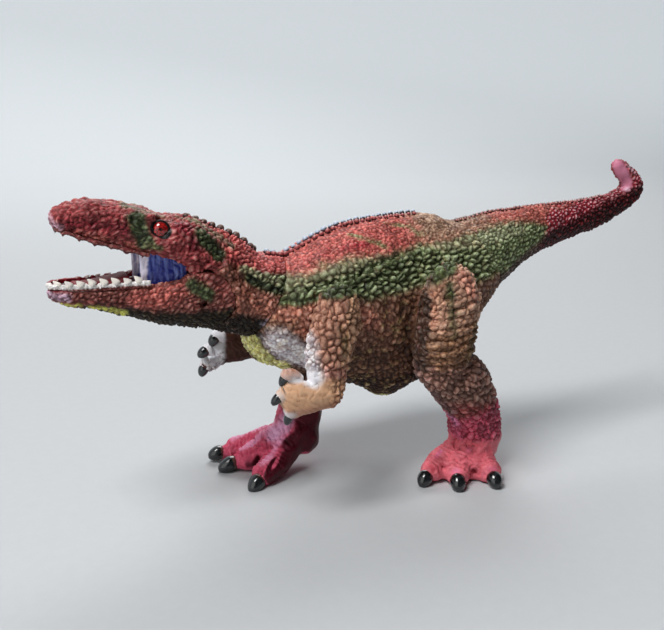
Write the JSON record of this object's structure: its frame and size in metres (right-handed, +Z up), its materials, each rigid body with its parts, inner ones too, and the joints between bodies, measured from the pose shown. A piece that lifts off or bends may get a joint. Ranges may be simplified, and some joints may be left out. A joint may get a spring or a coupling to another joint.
{
  "type": "toy dinosaur figure",
  "caption": "Striding two-legged meat-eating dinosaur figure in painted soft vinyl, with an open hinged jaw and a turning neck, tail, arms and legs.",
  "frame": {"origin": "middle of the figure's bounding box, on the floor that the feet stand on", "axes": "+Z up, the head towards -X, the figure's left flank towards -Y"},
  "size_m": [0.1832, 0.0578, 0.0859],
  "materials": {
    "body_skin": "satin paint on soft vinyl: coral red back, sage green side stripe, brown tan flank",
    "head_skin": "satin dusty red paint with dark green patches",
    "limb_skin": "satin tan paint, pink feet and pale hands, gloss black claws",
    "tail_skin": "satin coral to crimson paint with a green side",
    "mouth_blue": "gloss cobalt blue paint",
    "gum_dark": "satin",
    "tooth_white": "satin white paint",
    "tongue_red": "gloss dark red paint",
    "eye_gloss": "gloss red iris in a black ring",
    "pin_steel": "plain wire pin"
  },
  "bodies": {
    "torso": {"torso_shell": "body_skin"},
    "head": {"head_and_neck": "head_skin", "jaw_pin": "pin_steel", "mouth_lining": "mouth_blue", "upper_teeth": "gum_dark", "left_eye": "eye_gloss", "right_eye": "eye_gloss"},
    "jaw": {"lower_jaw": "head_skin", "tongue": "tongue_red", "lower_teeth": "tooth_white"},
    "tail_body": {"tail": "tail_skin"},
    "left_arm_body": {"left_arm": "limb_skin"},
    "right_arm_body": {"right_arm": "limb_skin"},
    "left_leg_body": {"left_leg": "limb_skin"},
    "right_leg_body": {"right_leg": "limb_skin"}
  },
  "joints": [
    {"name": "neck_swivel", "type": "hinge", "parent": "torso", "child": "head", "pos_m": [-0.03692, 0.00197, 0.05454], "axis": [-0.8829, 0, 0.4695], "range_deg": [-20, 20]},
    {"name": "jaw_hinge", "type": "hinge", "parent": "head", "child": "jaw", "pos_m": [-0.05543, 0.00197, 0.05636], "axis": [0, 1, 0], "range_deg": [0, 12]},
    {"name": "tail_swivel", "type": "hinge", "parent": "torso", "child": "tail_body", "pos_m": [0.02855, 0.00197, 0.06005], "axis": [0.866, 0, 0.5], "range_deg": [-30, 30]},
    {"name": "left_shoulder", "type": "hinge", "parent": "torso", "child": "left_arm_body", "pos_m": [-0.02346, 0.00197, 0.05069], "axis": [0, 1, 0], "range_deg": [-30, 45]},
    {"name": "right_shoulder", "type": "hinge", "parent": "torso", "child": "right_arm_body", "pos_m": [-0.02346, 0.00197, 0.05069], "axis": [0, 1, 0], "range_deg": [-15, 40]},
    {"name": "left_hip", "type": "hinge", "parent": "torso", "child": "left_leg_body", "pos_m": [0.01106, 0.00197, 0.04965], "axis": [0, 1, 0], "range_deg": [-25, 25]},
    {"name": "right_hip", "type": "hinge", "parent": "torso", "child": "right_leg_body", "pos_m": [0.01106, 0.00197, 0.04965], "axis": [0, 1, 0], "range_deg": [-25, 5]}
  ]
}
